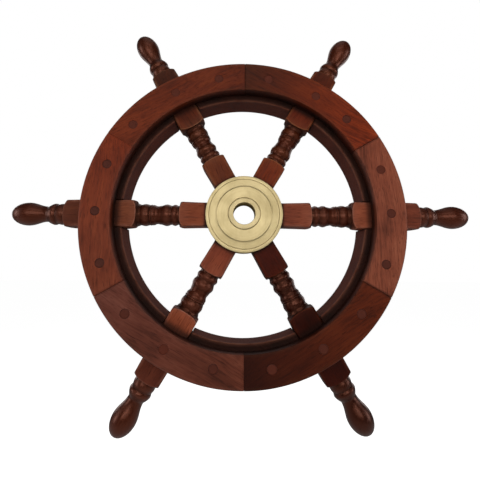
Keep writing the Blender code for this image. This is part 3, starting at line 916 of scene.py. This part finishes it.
def bush():
    """The flanged bush, grooved at the back for the retaining ring."""
    inner, outer, low, high = measure("hub_bush")
    outline = [(inner, high - 0.4), (inner, low + 0.35), (inner + 0.3, low + 0.02),
               (inner + 0.45, low), (outer - 0.7, low), (outer - 0.55, low + 0.03),
               (outer, low + 0.45), (outer, -15.4), (13, -15.4), (13, -2.1), (12.1, -2.1),
               (12.1, -0.1), (13, -0.1), (13, high - 0.4), (12.6, high), (inner + 0.4, high)]

    def paint(radius, y):
        # Painted shade inside the bore and on the collar where it sits in the plate's well.
        bore_shade = blend(inner + 0.1, inner, radius) * blend(low + 0.4, low + 1.5, y)
        return 0, bore_shade + 0.5 * blend(-17.2, -16.6, y) * blend(15.2, 15.3, radius), 0

    return turned("bush", outline, 160, paint, crease=25)


def retaining_ring():
    """A sprung ring with a gap. Returns it with where its two pliers' eyes go: the angle
    either side of the gap's middle, and the radius."""
    inner, outer, low, high = measure("retaining_ring")
    gap = 0.16
    steps = 120
    rings = []
    for k in range(steps + 1):
        turn = gap + (math.tau - 2 * gap) * k / steps
        near = min(k, steps - k) / steps
        reach = outer - 0.9 * blend(0.06, 0.12, near)
        inside = inner + 0.2 * blend(0.0, 0.1, near)
        section = [(inside, low + 0.1), (inside + 0.1, low), (reach - 0.1, low), (reach, low + 0.1),
                   (reach, high - 0.1), (reach - 0.1, high), (inside + 0.1, high),
                   (inside, high - 0.1)]
        rings.append([(radius * math.cos(turn), y, radius * math.sin(turn), 0, 0, 0)
                      for radius, y in section])
    return skin("retaining_ring", rings, crease=30), gap + 0.11, (inner + outer) / 2


def screw_mesh():
    """A round-head wood screw along Y with its head at the back, and how far back that is."""
    _, _, low, high = measure("hub_screw_1")
    head = 3.4
    seat = high - 1.8
    dome = seat + 0.6
    stations = [(0.3, low), (1.2, low + 2), (SCREW_SHANK, low + 5), (SCREW_SHANK, seat),
                (head - 0.3, seat), (head, seat + 0.25), (head, dome)]
    for k in range(1, 9):
        turn = math.pi / 2 * k / 8.4
        stations.append((head * math.cos(turn), dome + (high - dome) * math.sin(turn)))
    return rod("hub_screw", stations, 36), high


def build_hub():
    brass = turned_metal("brass_plate", *BRASS, 0.5)
    bush_brass = turned_metal("brass_bush", *BUSH_BRASS, 0.5, 0.7)
    screw_brass = turned_metal("brass_screw", *BRASS, 0.34, 0.3)
    steel = turned_metal("steel_ring", *STEEL, 0.34, 0.5)
    holes = [drill(SCREW_SHANK, SCREW_CIRCLE, n * PITCH) for n in range(SPOKES)]
    place("front_hub_plate_turned", front_plate(), brass, "front_hub_plate", WHEEL)
    place("back_hub_plate_turned", back_plate(), brass, "back_hub_plate", WHEEL,
          tools=holes, crease=25)
    place("hub_bush_turned", bush(), bush_brass, "hub_bush", SHAFT)
    ring, eye_turn, eye_circle = retaining_ring()
    eye = rod("eye_drill", [(0.55, -4), (0.55, 2)], 16)
    place("retaining_ring_sprung", ring, steel, "retaining_ring", SHAFT,
          tools=[(eye, 0, on_circle(eye_circle, turn)) for turn in (eye_turn, -eye_turn)],
          crease=30)
    mesh, top = screw_mesh()
    slot = block("screw_slot", (-5, top - 0.9, -0.42), (5, top + 2, 0.42))
    for n in range(SPOKES):
        cad = f"hub_screw_{n + 1}"
        place(f"{cad}_slotted", mesh, screw_brass, cad, WHEEL, n * PITCH, (SCREW_CIRCLE, 0, 0),
              tools=[(slot, 0.4 + 1.3 * n, (0, 0, 0))])


# Studio

CAMERA_PLACE = (-0.00978, -0.33913, -0.0492)
CAMERA_TURN = (101.234, -0.297, -1.481)           # degrees
FLOOR_DROP = 0.38                                 # metres below the lowest handle
FLOOR_HALF = 12                                   # metres
AMBIENT = 0.05                                    # the strength of the world's light
# Soft lights that face the hub: their place, width and height in metres, and their watts
LIGHTS = {"front_panel": ((0.0, -1.0, 0.14), 1.1, 0.4, 3.95),
          "upper_panel": ((0.0, -0.85, 0.8), 1.0, 0.35, 1.5),
          "left_panel": ((-1.4, -0.4, 0.1), 0.5, 0.8, 3.6),
          "right_panel": ((1.4, -0.4, 0.1), 0.5, 0.8, 3.6),
          "top_panel": ((0.0, -0.3, 1.2), 1.0, 0.8, 0.9),
          "back_panel": ((0.0, 0.9, 1.1), 1.2, 0.8, 2.8),
          "rear_left_panel": ((-1.2, 1.0, 0.3), 0.6, 0.8, 2.8),
          "rear_right_panel": ((1.2, 1.0, 0.3), 0.6, 0.8, 2.8)}


def build_camera():
    data = bpy.data.cameras.new("camera")
    data.lens = 25.4625
    data.sensor_width = 36
    data.shift_x = -0.00527
    data.shift_y = -0.0869
    data.clip_start = 0.01
    camera = bpy.data.objects.new("camera", data)
    camera.location = CAMERA_PLACE
    camera.rotation_euler = Euler([math.radians(angle) for angle in CAMERA_TURN])
    bpy.context.scene.collection.objects.link(camera)
    bpy.context.scene.camera = camera
    bpy.context.scene.view_settings.view_transform = "Standard"


def floor_finish():
    """A pale matt floor that runs into a white backdrop."""
    material, tree, shader = new_material("pale_floor")
    local = node(tree, "ShaderNodeTexCoord").outputs["Object"]
    mottle = grainy(tree, local, 3.0, 2.0)
    tree.links.new(ramp(tree, mottle, [(0.3, (0.78, 0.78, 0.77)), (0.7, (0.82, 0.82, 0.81))]),
                   shader.inputs["Base Color"])
    shader.inputs["Roughness"].default_value = 0.9
    seen = node(tree, "ShaderNodeLightPath").outputs["Is Camera Ray"]
    away = node(tree, "ShaderNodeVectorMath", {0: local}, operation="LENGTH").outputs["Value"]
    glow = spread(tree, away, 0.4, 1.0, 0.8, 0.95)
    shader.inputs["Emission Color"].default_value = (1, 1, 1, 1)
    tree.links.new(calc(tree, "MULTIPLY", seen, glow), shader.inputs["Emission Strength"])
    return material


def build_floor():
    bm = bmesh.new()
    bmesh.ops.create_grid(bm, x_segments=8, y_segments=8, size=FLOOR_HALF)
    mesh = bpy.data.meshes.new("floor")
    bm.to_mesh(mesh)
    bm.free()
    mesh.materials.append(floor_finish())
    floor = bpy.data.objects.new("floor", mesh)
    floor.location.z = CAD_BOX[0].z - FLOOR_DROP
    bpy.context.scene.collection.objects.link(floor)


def build_world():
    """A faint even light that is white to the camera."""
    world = bpy.data.worlds.new("studio")
    world.use_nodes = True
    tree = world.node_tree
    background = tree.nodes["Background"]
    seen = node(tree, "ShaderNodeLightPath").outputs["Is Camera Ray"]
    tree.links.new(spread(tree, seen, 0, 1, AMBIENT, 1.0), background.inputs["Strength"])
    background.inputs["Color"].default_value = (1, 1, 1, 1)
    bpy.context.scene.world = world


def build_lights():
    for name, (place_at, width, height, power) in LIGHTS.items():
        data = bpy.data.lights.new(name, "AREA")
        data.shape = "RECTANGLE"
        data.size = width
        data.size_y = height
        data.energy = power
        light = bpy.data.objects.new(name, data)
        light.location = place_at
        light.rotation_euler = (-Vector(place_at)).to_track_quat("-Z", "Y").to_euler()
        light.visible_camera = False
        bpy.context.scene.collection.objects.link(light)


build_rim()
build_nave()
build_hub()
build_camera()
build_floor()
build_world()
build_lights()
